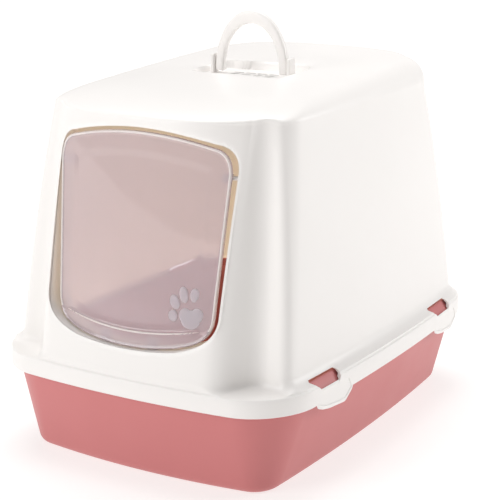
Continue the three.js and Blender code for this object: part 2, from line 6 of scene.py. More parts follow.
import bmesh
import bpy
import numpy as np
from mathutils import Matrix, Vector


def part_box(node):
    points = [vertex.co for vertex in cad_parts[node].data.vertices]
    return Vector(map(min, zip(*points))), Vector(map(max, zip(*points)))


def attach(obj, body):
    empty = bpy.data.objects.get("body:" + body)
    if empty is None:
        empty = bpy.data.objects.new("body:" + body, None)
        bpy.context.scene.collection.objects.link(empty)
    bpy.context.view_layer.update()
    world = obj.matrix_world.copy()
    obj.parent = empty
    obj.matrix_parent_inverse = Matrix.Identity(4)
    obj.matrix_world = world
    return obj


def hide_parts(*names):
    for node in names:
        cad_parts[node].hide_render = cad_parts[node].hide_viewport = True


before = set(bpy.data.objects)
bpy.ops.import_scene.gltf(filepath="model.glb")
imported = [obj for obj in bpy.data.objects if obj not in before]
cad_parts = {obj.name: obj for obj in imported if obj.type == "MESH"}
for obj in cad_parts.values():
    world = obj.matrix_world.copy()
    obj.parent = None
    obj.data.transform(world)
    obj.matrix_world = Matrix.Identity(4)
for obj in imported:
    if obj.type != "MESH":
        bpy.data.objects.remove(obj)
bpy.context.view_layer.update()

MM = 0.001

# ---------------------------------------------------------------- sizes, in millimetres
HOOD_LOW, HOOD_HIGH = [[v / MM for v in corner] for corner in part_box("hood")]
TRAY_HIGH = [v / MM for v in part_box("tray")[1]]
DOOR_LOW, DOOR_HIGH = [[v / MM for v in corner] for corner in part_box("door_flap")]
HALF_WIDTH = HOOD_HIGH[0]
HALF_LENGTH = HOOD_HIGH[1]
SKIRT_LOW = HOOD_LOW[2]

WALL = 2.2
FIT = 0.35
BOW_SIDE = 0.061
BOW_END = 0.065
SKIRT_RADIUS = 58
LEDGE = 110
FLARE_HEIGHT = 15
SIDE_HALF = 174
SIDE_LEAN = 0.063
SIDE_CURVE = 0.000115
CORNER_LOSS = 0.074
END_HALF = 248
END_LEAN = 0.153
SWEEP_HALF = 112
SWEEP = 5.8
SWEEP_GAIN = 0.05
SWEEP_CURVE = 0.00016
ROOF_START = 366
ROOF_LEVEL = 391
ROOF_SLOPE = 0.051
ROOF_CAMBER = 3
CAMBER_HALF = 130
ROOF_ROUND = 25
BROW_ROUND = 87
LEDGE_WALL = 1.3                  # the ledge's upright thickness against the plain wall
FLUTE_X, FLUTE_Y = 130, 200
FLUTE_LEAN_X, FLUTE_LEAN_Y = 0.03, 0.133
FLUTE_WALL = np.array([0.87, 0.49]) / math.hypot(0.87, 0.49)
FLUTE_FLOOR = np.array([-0.12, 1.0]) / math.hypot(-0.12, 1.0)
FLUTE_TOP = 381
FLUTE_FILLET = 14                 # rounding in the bottom of a flute
FLUTE_EDGE_LOW, FLUTE_EDGE_HIGH = 11, 5      # rounding of its edge at the ledge and at its top
HANDLE_Y = 11
WELL_HALF_X, WELL_HALF_Y, WELL_Y, WELL_RADIUS, WELL_FLOOR = 58, 40, 10, 14, 383.5
DOOR = dict(top=354.4, shoulder_x=82, shoulder_z=344, drop=26, half=101.5, half_low=94,
            corner_z=180, low_half=56, low_z=146.5, bottom=141.4)
DOORWAY = dict(top=358.4, shoulder_x=84, shoulder_z=347.5, drop=28, half=106.3, half_low=103.3,
               corner_z=182, low_half=58, low_z=144.8, bottom=140)
SHOULDER_LIFT = 3                 # how far below its ends a shoulder's control point sits
CORNER_DROP, CORNER_PULL = 24, 1.5       # pulls of the big lower corner's curve
SILL_PULL_X, SILL_PULL_Z = 20, 5
DOOR_THICK = 2.2
DOOR_LEAN = 0.135
DOOR_RECESS = 3.5
DOOR_BULGE = 13
JAMB_DEPTH = 24
FRONT_CUT = (-300, -120)          # cuts through the front wall run between these, along Y
SIDE_CUT = (150, 200)             # and cuts through a side wall between these, along X
VENT_CUT = (376, 388)             # and the vents between these heights
STOP_NEAR, STOP_FAR, STOP_LOW, STOP_HIGH, STOP_DEPTH = 22, 34, 140.5, 153, 3
HINGE_Y, HINGE_Z = -192, 315
HUB_NEAR, HUB_FAR, HUB_RADIUS = 89.5, 97.5, 4.4
WEB_X, WEB_HALF = 93, 3.4

HANDLE_PIVOT = 391
HANDLE_OUTER, HANDLE_BAND, HANDLE_CROWN, HANDLE_DEPTH = 45.5, 10.5, 15, 9
STUB_RADIUS = 2.4
LUG_SPACE, LUG_THICK, LUG_DEPTH, LUG_TOP, LUG_ROUND = 0.4, 4, 13, 405, 3.2
VENT_LENGTH, VENT_WIDTH, VENT_PITCH_X, VENT_PITCH_Y = 13, 5, 15, 10
VENT_COLUMNS, VENT_ROWS = 4, 3
RAIL_FOOT, RAIL_NEAR, RAIL_FAR, RAIL_THICK = 47.5, 52, 54, 2
RAIL_START, RAIL_END = -37, 39.35     # from the handle's middle
CASSETTE_LOW = 367.5

TRAY_RIM = 105
TRAY_BOTTOM_X, TRAY_BOTTOM_Y, TRAY_BOTTOM_RADIUS = 154, 223.5, 24
TRAY_TOP_RADIUS = 54
TRAY_LIP, TRAY_LIP_LOW = 5, 93
TRAY_WALL, TRAY_ROUND = 2.4, 9
CATCH_TOP = TRAY_HIGH[2]
CATCH_FROM, CATCH_TO = -172, -108
REAR_SHIFT = 280                  # from a front window or tab to the rear one

WINDOW_OUTLINE = [(-157, 101), (-130, 101), (-123, 113.5), (-126, 116.5), (-173, 116.5), (-175, 115)]
TAB_TOP = 101.5
TAB_OUTLINE = [(-165, TAB_TOP), (-167, 90.6), (-158, 87.3), (-146, 85), (-116, 82.5), (-103, 91),
               (-109, TAB_TOP)]

SIDES = ((1, "right"), (-1, "left"))
ENDS = ((0, "front"), (REAR_SHIFT, "rear"))


# ---------------------------------------------------------------- plan outlines
def soft_min(a, b, k):
    h = np.maximum(k - np.abs(a - b), 0) / k
    return np.minimum(a, b) - h * h * k / 4


def soft_max(a, b, k):
    return -soft_min(-a, -b, k)


def plan_directions(side_step=1.1, corner_step=0.32, end_step=0.75):
    """Angles round the plan, closer together at the flutes."""
    quarter = np.concatenate([np.arange(0, 44, side_step), np.arange(44, 67, corner_step),
                              np.arange(67, 90, end_step)])
    half = np.concatenate([quarter, [90], 180 - quarter[:0:-1]])
    return np.radians(np.concatenate([half, half + 180]))


ANGLES = plan_directions()


def plan_outline(x, y, half_x, half_y, radius, setback):
    """Signed distance to the bowed rounded rectangle."""
    bow = 1 - BOW_SIDE * (y / half_y) ** 2
    qx = np.abs(x) / bow - (half_x - radius)
    qy = np.abs(y) + setback(x) - (half_y - radius)
    outside = np.hypot(np.maximum(qx, 0), np.maximum(qy, 0))
    return outside + np.minimum(np.maximum(qx, qy), 0) - radius


def flute_notch(x, y, z):
    dx = np.abs(x) - (FLUTE_X - FLUTE_LEAN_X * (z - LEDGE))
    dy = np.abs(y) - (FLUTE_Y - FLUTE_LEAN_Y * (z - LEDGE))
    wall = dx * FLUTE_WALL[0] + dy * FLUTE_WALL[1]
    floor = dx * FLUTE_FLOOR[0] + dy * FLUTE_FLOOR[1]
    return soft_min(soft_min(wall, floor, FLUTE_FILLET), FLUTE_TOP - z, FLUTE_FILLET)


def flute_edge(z):
    """How soft the flute's front edge is: soft at the ledge, crisp near its top."""
    share = np.clip((z - LEDGE) / (FLUTE_TOP - LEDGE), 0, 1)
    return FLUTE_EDGE_LOW + (FLUTE_EDGE_HIGH - FLUTE_EDGE_LOW) * share


def crossing(distance):
    """Distance from the axis, for every direction, at which the outline is met."""
    near = np.full_like(ANGLES, 5.0)
    far = np.full_like(ANGLES, 330.0)
    for _ in range(34):
        middle = (near + far) / 2
        inside = distance(middle * np.cos(ANGLES), middle * np.sin(ANGLES)) < 0
        near = np.where(inside, middle, near)
        far = np.where(inside, far, middle)
    return near


def ring(reach, z):
    return np.stack([reach * np.cos(ANGLES), reach * np.sin(ANGLES), np.broadcast_to(z, reach.shape)], 1)


# ---------------------------------------------------------------- hood curves
def skirt_reach(inset):
    sweep = BOW_END * HALF_LENGTH
    return crossing(lambda x, y: plan_outline(
        x, y, HALF_WIDTH, HALF_LENGTH, SKIRT_RADIUS, lambda at: sweep * (at / HALF_WIDTH) ** 2) + inset)


def front_face(z):
    return END_HALF - END_LEAN * (z - LEDGE)


def hood_half(z):
    up = max(z - LEDGE, 0)
    flare = max(1 - up / FLARE_HEIGHT, 0) ** 2
    sweep = SWEEP + SWEEP_GAIN * up + SWEEP_CURVE * up * up
    half_x = SIDE_HALF - SIDE_LEAN * up - SIDE_CURVE * up * up + (HALF_WIDTH - 1 - SIDE_HALF) * flare
    half_y = front_face(z) + (HALF_LENGTH - 1 - END_HALF) * flare
    setback = lambda x: sweep * np.minimum(np.abs(x) / SWEEP_HALF, 1) ** 3
    return half_x, half_y, SKIRT_RADIUS - CORNER_LOSS * up, setback


def wall_reach(z, inset, fillet=0.0):
    half = hood_half(z)
    return crossing(lambda x, y: soft_max(
        plan_outline(x, y, *half), flute_notch(x, y, z), flute_edge(z)) + inset - fillet)


def roof_height(x, y):
    return ROOF_LEVEL + ROOF_SLOPE * (y - HANDLE_Y) - ROOF_CAMBER * (x / CAMBER_HALF) ** 2


def roof_ring(t, inset):
    turn = t * math.pi / 2
    bend, rise = 1 - math.cos(turn), math.sin(turn)
    half_x, half_y, radius, sweep = hood_half(ROOF_START)
    half_x -= ROOF_ROUND * bend
    half_y -= (ROOF_ROUND + BROW_ROUND) / 2 * bend
    shift = (BROW_ROUND - ROOF_ROUND) / 2 * bend
    level = ROOF_START + (ROOF_LEVEL - ROOF_START) * rise
    reach = crossing(lambda x, y: soft_max(
        plan_outline(x, y - shift, half_x, half_y, radius, lambda at: sweep(at) * (1 - t / 2)),
        flute_notch(x, y, level), flute_edge(level)) + inset)
    points = ring(reach, ROOF_START)
    top = roof_height(points[:, 0], points[:, 1])
    points[:, 2] = ROOF_START + (top - ROOF_START - inset) * rise
    return points


def smooth_step(value):
    v = np.clip(value, 0, 1)
    return v * v * (3 - 2 * v)


def rounded_distance(x, y, half_x, half_y, radius):
    qx = np.abs(x) - half_x + radius
    qy = np.abs(y) - half_y + radius
    return np.hypot(np.maximum(qx, 0), np.maximum(qy, 0)) + np.minimum(np.maximum(qx, qy), 0) - radius


def sink_well(points, inset):
    """Presses the handle's well into the roof."""
    depth_in = -rounded_distance(points[:, 0], points[:, 1] - WELL_Y, WELL_HALF_X + inset,
                                 WELL_HALF_Y + inset, WELL_RADIUS)
    floor = WELL_FLOOR - inset
    share = smooth_step(depth_in / 4)
    points[:, 2] += (floor - points[:, 2]) * share
    return points


def hood_rings(inset, fine):
    """Rings from the skirt's top edge to the middle of the roof, for one face of the shell."""
    ledge = LEDGE - inset * LEDGE_WALL
    skirt = skirt_reach(inset)
    rings = []
    for drop, pull in ((1.6, 0.0), (0.8, 0.25), (0.25, 0.8), (0.0, 1.5)):
        rings.append(ring(skirt - pull, ledge - drop))
    foot = np.minimum(wall_reach(ledge + 1, inset, 5.0), skirt - 2.2)
    for share in (0.2, 0.4, 0.6, 0.8):
        rings.append(ring(skirt - 1.5 + (foot - skirt + 1.5) * share, ledge + 0.9 * share))
    for up in (1.0, 1.5, 2.2, 3.1, 4.2, 5.6, 7.2, 9.0, 11, 13, 15):
        fillet = 5.0 * (1 - math.sqrt(max(1 - max(1 - (up - 1) / 6.5, 0) ** 2, 0)))
        rings.append(ring(np.minimum(wall_reach(ledge + up, inset, fillet), skirt - 2.2), ledge + up))
    for z in np.arange(LEDGE + 18, ROOF_START, 3.2 if fine else 12):
        rings.append(ring(wall_reach(float(z), inset), float(z)))
    for t in np.linspace(0, 1, 27 if fine else 12):
        rings.append(roof_ring(float(t), inset))
    edge = rings[-1]
    steps = 64 if fine else 44
    for scale in np.linspace(1, 0, steps, endpoint=False)[1:]:
        points = edge * [scale, scale, 1]
        points[:, 2] = roof_height(points[:, 0], points[:, 1]) - inset
        rings.append(sink_well(points, inset))
    return rings


# ---------------------------------------------------------------- doorway outline
def bezier(points, count):
    """Points along a Bezier curve, without its last one."""
    t = np.linspace(0, 1, count, endpoint=False)[:, None]
    points = [np.array(p, float) for p in points]
    while len(points) > 1:
        points = [a + (b - a) * t for a, b in zip(points, points[1:])]
    return points[0]


def door_outline(spec, steps=30):
    s = spec
    crown = 2 * s["top"] - s["shoulder_z"]
    sill = 2 * s["bottom"] - s["low_z"]
    pull = s["corner_z"] - CORNER_DROP
    right = [(s["shoulder_x"], s["shoulder_z"]), (s["half"], s["shoulder_z"] - SHOULDER_LIFT),
             (s["half"], s["shoulder_z"] - s["drop"])]
    corner = [(s["half_low"], s["corner_z"]), (s["half_low"] - CORNER_PULL, pull),
              (s["low_half"] + SILL_PULL_X, s["low_z"] + SILL_PULL_Z), (s["low_half"], s["low_z"])]
    mirror = lambda line: [(-x, z) for x, z in reversed(line)]
    lines = [
        ([(-s["shoulder_x"], s["shoulder_z"]), (0, crown), (s["shoulder_x"], s["shoulder_z"])], 3 * steps),
        (right, steps), ([right[-1], corner[0]], 2 * steps), (corner, 2 * steps),
        ([(s["low_half"], s["low_z"]), (0, sill), (-s["low_half"], s["low_z"])], 2 * steps),
        (mirror(corner), 2 * steps),
        ([(-s["half_low"], s["corner_z"]), (-s["half"], right[-1][1])], 2 * steps),
        (mirror(right), steps),
    ]
    return np.concatenate([bezier(points, count) for points, count in lines])


def grown(outline, distance):
    """The outline moved out by a distance; it runs clockwise, seen from the front."""
    along = np.roll(outline, -1, 0) - np.roll(outline, 1, 0)
    along /= np.linalg.norm(along, axis=1)[:, None]
    return outline + distance * np.stack([-along[:, 1], along[:, 0]], 1)


def outline_distance(outline, x, z):
    """Signed distance from an outline, positive outside, for points near it."""
    a = outline
    b = np.roll(outline, -1, 0)
    edge = b - a
    length2 = (edge ** 2).sum(1)
    best = np.full(x.shape, 1e9)
    inside = np.zeros(x.shape, bool)
    for (ax, az), (ex, ez), (bx, bz), l2 in zip(a, edge, b, length2):
        t = np.clip(((x - ax) * ex + (z - az) * ez) / l2, 0, 1)
        best = np.minimum(best, (x - ax - t * ex) ** 2 + (z - az - t * ez) ** 2)
        crosses = (az > z) != (bz > z)
        slope = (bx - ax) / (bz - az) if bz != az else 0
        inside ^= crosses & (x < ax + slope * (z - az))
    return np.sqrt(best) * np.where(inside, -1, 1)


def door_face(x, z):
    """Y of the door's front face."""
    return DOOR_RECESS - front_face(HINGE_Z) + DOOR_LEAN * (z - HINGE_Z) + DOOR_BULGE * (x / 100) ** 2


def hood_face(x, z):
    """Y of the hood's front face beside the doorway."""
    up = z - LEDGE
    sweep = SWEEP + SWEEP_GAIN * up + SWEEP_CURVE * up * up
    return sweep * np.minimum(np.abs(x) / SWEEP_HALF, 1) ** 3 - front_face(z)


DOORWAY_LINE = door_outline(DOORWAY)
DOOR_LINE = door_outline(DOOR)


# ---------------------------------------------------------------- mesh making
def make_object(name, points, faces, material, smooth_angle=35):
    mesh = bpy.data.meshes.new(name)
    mesh.from_pydata((np.asarray(points) * MM).tolist(), [], faces)
    mesh.validate()
    return finish_object(name, mesh, material, smooth_angle)


def finish_object(name, mesh, material, smooth_angle=35):
    mesh.polygons.foreach_set("use_smooth", [True] * len(mesh.polygons))
    mesh.set_sharp_from_angle(angle=math.radians(smooth_angle))
    mesh.materials.clear()
    mesh.materials.append(material)
    piece = bpy.data.objects.new(name, mesh)
    bpy.context.collection.objects.link(piece)
    return piece


def recalculate(piece):
    """Turns all faces of a closed piece outward."""
    work = bmesh.new()
    work.from_mesh(piece.data)
    bmesh.ops.recalc_face_normals(work, faces=work.faces)
    work.to_mesh(piece.data)
    work.free()


def bar_rings(profile, y, z, sides=32):
    """Rings of a round bar along X, from (x, radius) pairs."""
    turn = np.linspace(0, 2 * math.pi, sides, endpoint=False)
    return [np.stack([np.full(sides, x), y + r * np.cos(turn), z + r * np.sin(turn)], 1)
            for x, r in profile]


def skin(rings, loop=False):
    """Points and quads over matching rings; the ends close on their middles."""
    count = len(rings[0])
    points = np.concatenate(rings)
    faces = []
    spans = len(rings) if loop else len(rings) - 1
    around = np.arange(count)
    after = (around + 1) % count
    for k in range(spans):
        low = k * count
        high = ((k + 1) % len(rings)) * count
        faces += np.stack([low + around, low + after, high + after, high + around], 1).tolist()
    if not loop:
        for flip, which in ((True, 0), (False, len(rings) - 1)):
            middle = len(points)
            points = np.vstack([points, rings[which].mean(0)])
            start = which * count
            order = (after, around) if flip else (around, after)
            faces += [[middle, start + i, start + j] for i, j in zip(*order)]
    return points, faces


def prism(outline, axis, low, high):
    """A closed prism over a flat outline; axis is the row axis it runs along."""
    count = len(outline)
    rings = []
    for level in (low, high):
        points = np.insert(outline, axis, level, axis=1)
        rings.append(points)
    points = np.concatenate(rings)
    faces = [[i, (i + 1) % count, count + (i + 1) % count, count + i] for i in range(count)]
    faces += [list(range(count))[::-1], list(range(count, 2 * count))]
    return points, faces


def tool_of(parts):
    """One mesh object from several closed prisms, with its faces turned outward."""
    points, faces = [], []
    for part_points, part_faces in parts:
        base = sum(len(p) for p in points)
        points.append(part_points)
        faces += [[base + i for i in face] for face in part_faces]
    mesh = bpy.data.meshes.new("tool")
    mesh.from_pydata((np.concatenate(points) * MM).tolist(), [], faces)
    tool = bpy.data.objects.new("tool", mesh)
    bpy.context.collection.objects.link(tool)
    recalculate(tool)
    return tool


def carve(piece, tools):
    """Cuts the tools out of a piece."""
    for tool in tools:
        cut = piece.modifiers.new("cut", "BOOLEAN")
        cut.operation = "DIFFERENCE"
        cut.solver = "MANIFOLD"
        cut.object = tool
    bpy.context.view_layer.update()
    graph = bpy.context.evaluated_depsgraph_get()
    mesh = bpy.data.meshes.new_from_object(piece.evaluated_get(graph))
    name = piece.name
    material = piece.data.materials[0]
    for old in [piece, *tools]:
        bpy.data.objects.remove(old)
    return finish_object(name, mesh, material)


def belong(piece, body, slot, *nodes):
    """Parents a piece to its body and hides the imported nodes it stands for; the slot argument is not
    used.
    """
    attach(piece, body)
    if nodes:
        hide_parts(*nodes)
    return piece


# ---------------------------------------------------------------- materials
class Nodes:
    """A small helper that builds one procedural material."""

    def __init__(self, name):
        self.material = bpy.data.materials.new(name)
        self.material.use_nodes = True
        self.tree = self.material.node_tree
        self.shader = self.tree.nodes["Principled BSDF"]
        self.place = self.add("ShaderNodeTexCoord").outputs["Object"]

    def add(self, kind, **inputs):
        node = self.tree.nodes.new(kind)
        for key, value in inputs.items():
            node.inputs[key.replace("_", " ")].default_value = value
        return node

    def link(self, output, socket):
        self.tree.links.new(output, socket)

    def noise(self, scale, detail=3.0, roughness=0.55):
        node = self.add("ShaderNodeTexNoise", Scale=scale, Detail=detail, Roughness=roughness)
        self.link(self.place, node.inputs["Vector"])
        return node.outputs["Fac"]

    def between(self, factor, low, high):
        """Maps a 0 to 1 factor onto a range of numbers."""
        node = self.add("ShaderNodeMapRange")
        node.inputs["To Min"].default_value = low
        node.inputs["To Max"].default_value = high
        self.link(factor, node.inputs["Value"])
        return node.outputs["Result"]

    def blend(self, factor, first, second):
        node = self.tree.nodes.new("ShaderNodeMix")
        node.data_type = "RGBA"
        node.inputs[6].default_value = (*first, 1)
        node.inputs[7].default_value = (*second, 1)
        self.link(factor, node.inputs[0])
        return node.outputs[2]

    def colour(self, output):
        self.link(output, self.shader.inputs["Base Color"])

    def roughness(self, output):
        self.link(output, self.shader.inputs["Roughness"])

    def bump(self, height, strength, distance):
        node = self.add("ShaderNodeBump", Strength=strength, Distance=distance)
        self.link(height, node.inputs["Height"])
        self.link(node.outputs["Normal"], self.shader.inputs["Normal"])

    def set(self, **values):
        for key, value in values.items():
            self.shader.inputs[key.replace("_", " ")].default_value = value


def moulded_plastic(name, pale, deep, rough, grain_scale, grain, coat=0.0):
    """Injection-moulded plastic: faint cloudiness in colour and gloss over a fine grain."""
    m = Nodes(name)
    m.colour(m.blend(m.noise(9, 4), pale, deep))
    m.roughness(m.between(m.noise(26, 5), *rough))
    m.bump(m.noise(grain_scale, 2), grain, 0.0004)
    m.set(IOR=1.49, Coat_Weight=coat, Coat_Roughness=0.12)
    return m.material


def smoked_clear(name, pale, deep, clear, rough):
    """Clear tinted plastic with a faint milky veil and flow marks."""
    m = Nodes(name)
    m.colour(m.blend(m.noise(7, 3), pale, deep))
    m.roughness(m.between(m.noise(40, 4), *rough))
    m.bump(m.noise(60, 3), 0.05, 0.0005)
    m.set(IOR=1.45, Transmission_Weight=clear)
    return m.material


def charcoal_foam(name):
    m = Nodes(name)
    m.colour(m.blend(m.noise(600, 6), (0.012, 0.012, 0.013), (0.06, 0.058, 0.055)))
    m.roughness(m.between(m.noise(300, 3), 0.85, 1.0))
    m.bump(m.noise(900, 5), 0.7, 0.0008)
    return m.material


WHITE = moulded_plastic("gloss_white", (0.93, 0.905, 0.885), (0.90, 0.875, 0.85), (0.38, 0.44), 900,
                        0.02, 0.1)
ROSE = moulded_plastic("satin_rose", (0.62, 0.2, 0.2), (0.57, 0.175, 0.175), (0.36, 0.5), 700, 0.12)
SMOKE = smoked_clear("smoked_clear", (0.89, 0.78, 0.82), (0.85, 0.74, 0.78), 0.62, (0.01, 0.03))
RELIEF = smoked_clear("door_relief", (0.90, 0.82, 0.87), (0.85, 0.77, 0.82), 0.5, (0.25, 0.35))
# Paler and cloudier than the door: painted highlight on the edge and ridge beads, where the door catches
# the light; the hubs and webs use it as plain plastic.
PALE_SMOKE_AND_PAINTED_HIGHLIGHT = smoked_clear("door_rim", (0.95, 0.88, 0.86), (0.92, 0.85, 0.83), 0.2, (0.15, 0.25))
FOAM = charcoal_foam("charcoal_foam")


# ---------------------------------------------------------------- hood
def soften_doorway(points, radius=3.2):
    """Rolls the front face in towards the doorway's edge."""
    x, y, z = points.T
    near = (y < -150) & (np.abs(x) < 120) & (z > 125) & (z < ROOF_START)
    d = outline_distance(DOORWAY_LINE, x[near], z[near])
    reach = np.clip(1 - d / radius, 0, 1)
    points[near, 1] += radius * (1 - np.sqrt(1 - reach ** 2)) * 0.55
    return points


def window_line(shift):
    return np.array(WINDOW_OUTLINE, float) + [shift, 0]


def tab_line(shift, grow=0.0):
    points = np.array(TAB_OUTLINE, float)
    middle = (points[0, 0] + points[-1, 0]) / 2
    points[:, 1] += np.select([points[:, 1] == TAB_TOP, points[:, 1] < SKIRT_LOW], [grow, -2 * grow], 0)
    points[:, 0] += np.sign(points[:, 0] - middle) * grow + shift
    return points


def vent_line(column, row):
    """The outline of one vent, counted from the front left one."""
    turn = np.linspace(-math.pi / 2, math.pi / 2, 9)
    radius = VENT_WIDTH / 2
    end = np.stack([VENT_LENGTH / 2 - radius + radius * np.cos(turn), radius * np.sin(turn)], 1)
    x = (column - (VENT_COLUMNS - 1) / 2) * VENT_PITCH_X
    y = HANDLE_Y + (row - (VENT_ROWS - 1) / 2) * VENT_PITCH_Y
    return np.concatenate([end, -end]) + [x, y]


def on_side(side, near, far):
    """The ends of a span along X, in order, on one side of the box."""
    return sorted((side * near, side * far))


def make_hood():
    outer = hood_rings(0, True)
    inner = hood_rings(WALL, False)
    skirt_out = skirt_reach(0)
    skirt_in = skirt_reach(WALL)
    low = [ring(skirt_in, SKIRT_LOW + 8), ring(skirt_in, SKIRT_LOW + 0.6),
           ring(skirt_in + 0.6, SKIRT_LOW), ring(skirt_out - 0.6, SKIRT_LOW),
           ring(skirt_out, SKIRT_LOW + 0.6), ring(skirt_out, SKIRT_LOW + 8)]
    rings = inner[::-1] + low + [soften_doorway(points) for points in outer]
    shell = make_object("hood_shell", *skin(rings), WHITE)
    doorway = prism(DOORWAY_LINE, 1, *FRONT_CUT)
    vents = [prism(vent_line(column, row), 2, *VENT_CUT)
             for row in range(VENT_ROWS) for column in range(VENT_COLUMNS)]
    slots, windows = [], []
    for side, _ in SIDES:
        span = on_side(side, *SIDE_CUT)
        for shift, _ in ENDS:
            slots.append(prism(tab_line(shift, FIT), 0, *span))
            windows.append(prism(window_line(shift), 0, *span))
    shell = carve(shell, [tool_of([doorway, *vents, *slots]), tool_of(windows)])
    belong(shell, "hood", "shell_white", "hood")


def make_doorway_return():
    """The wall that turns in round the doorway."""
    rings = []
    section = [(0.0, 0.0, 1), (0.0, 0.35, 1), (0.0, 0.7, 1), (0.0, 1.0, -1), (0.8, 1.0, 0), (1.5, 1.0, 0),
               (WALL, 1.0, -0.8), (WALL, 0.6, 0), (WALL, 0.0, 1)]
    for out, share, extra in section:
        line = grown(DOORWAY_LINE, out)
        front = hood_face(line[:, 0], line[:, 1])
        back = door_face(line[:, 0], line[:, 1]) + JAMB_DEPTH
        rings.append(np.stack([line[:, 0], front + (back - front) * share + extra, line[:, 1]], 1))
    points, faces = skin(rings, loop=True)
    belong(make_object("doorway_return", points, faces, WHITE), "hood", "shell_white")


def bevelled_box(name, low, high, material, width=0.7):
    """A block with rounded edges."""
    mesh = bpy.data.meshes.new(name)
    work = bmesh.new()
    bmesh.ops.create_cube(work, size=1)
    middle = (Vector(low) + Vector(high)) / 2
    size = Vector(high) - Vector(low)
    for vertex in work.verts:
        vertex.co = Vector([middle[i] + vertex.co[i] * size[i] for i in range(3)]) * MM
    bmesh.ops.bevel(work, geom=work.edges[:], offset=width * MM, segments=3, profile=0.5, affect="EDGES")
    work.to_mesh(mesh)
    work.free()
    return finish_object(name, mesh, material, 60)


def sweep_plate(name, outline, axis, low, high, material, edge=0.8):
    """A plate over an outline, its rims rounded; axis is the row axis through its thickness."""
    levels = [(low, edge), (low + edge * 0.3, edge * 0.3), (low + edge, 0), (high - edge, 0),
              (high - edge * 0.3, edge * 0.3), (high, edge)]
    rings = [np.insert(grown(outline, -inset), axis, level, axis=1) for level, inset in levels]
    piece = make_object(name, *skin(rings), material, 50)
    recalculate(piece)
    return piece


def rounded_line(corners, radius, steps=7):
    """A clockwise outline with each corner rounded."""
    corners = np.array(corners, float)
    parts = []
    for before, here, after in zip(np.roll(corners, 1, 0), corners, np.roll(corners, -1, 0)):
        a = here + (before - here) / np.linalg.norm(before - here) * radius
        b = here + (after - here) / np.linalg.norm(after - here) * radius
        parts.append(bezier([a, here, b], steps))
        parts.append(b[None, :])
    return np.concatenate(parts)


def make_lugs():
    inner = HANDLE_OUTER + FIT + LUG_SPACE
    front, back = HANDLE_Y - LUG_DEPTH / 2, HANDLE_Y + LUG_DEPTH / 2
    foot = WELL_FLOOR - 0.9
    line = rounded_line([(front, foot), (front, LUG_TOP), (back, LUG_TOP), (back, foot)], LUG_ROUND)
    for side, name in SIDES:
        span = on_side(side, inner, inner + LUG_THICK)
        belong(sweep_plate(f"handle_lug_{name}", line, 0, *span, WHITE), "hood", "shell_white")


def hood_block(name, side, near, far, y, z):
    """A rounded block of the hood on one side of it."""
    x = on_side(side, near, far)
    piece = bevelled_box(name, (x[0], y[0], z[0]), (x[1], y[1], z[1]), WHITE)
    belong(piece, "hood", "shell_white")


def make_rails_and_stops():
    y = (HANDLE_Y + RAIL_START, HANDLE_Y + RAIL_END)
    foot = CASSETTE_LOW - FIT - RAIL_THICK
    stop = door_face(STOP_FAR, STOP_HIGH) + DOOR_THICK + FIT
    for side, name in SIDES:
        hood_block(f"filter_rail_{name}", side, RAIL_NEAR + FIT, RAIL_FAR + FIT, y, (foot, WELL_FLOOR - 1))
        hood_block(f"filter_rail_foot_{name}", side, RAIL_FOOT + FIT, RAIL_FAR + FIT, y,
                   (foot, foot + RAIL_THICK))
        hood_block(f"door_stop_{name}", side, STOP_NEAR, STOP_FAR, (stop, stop + STOP_DEPTH),
                   (STOP_LOW, STOP_HIGH))


def make_pins():
    for _, name in SIDES:
        low, high = [[v / MM for v in corner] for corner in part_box(f"hinge_pin_{name}")]
        radius = (high[2] - low[2]) / 2
        profile = [(low[0], 0.6 * radius), (low[0] + 0.25, 0.9 * radius), (low[0] + 0.7, radius),
                   (high[0] - 0.7, radius), (high[0] - 0.25, 0.9 * radius), (high[0], 0.6 * radius)]
        piece = make_object(f"pin_{name}", *skin(bar_rings(profile, HINGE_Y, HINGE_Z)), WHITE, 50)
        belong(piece, "hood", "shell_white", f"hinge_pin_{name}")


# ---------------------------------------------------------------- tray
TRAY_TOP_X = HALF_WIDTH - WALL - FIT - TRAY_LIP
TRAY_TOP_Y = HALF_LENGTH - WALL - FIT - TRAY_LIP


def tray_reach(z, inset):
    share = min(z / TRAY_LIP_LOW, 1)
    half_x = TRAY_BOTTOM_X + (TRAY_TOP_X - TRAY_BOTTOM_X) * share
    half_y = TRAY_BOTTOM_Y + (TRAY_TOP_Y - TRAY_BOTTOM_Y) * share
    radius = TRAY_BOTTOM_RADIUS + (TRAY_TOP_RADIUS - TRAY_BOTTOM_RADIUS) * share
    sweep = BOW_END * half_y
    return crossing(lambda x, y: plan_outline(
        x, y, half_x, half_y, radius, lambda at: sweep * (at / half_x) ** 2) + inset)


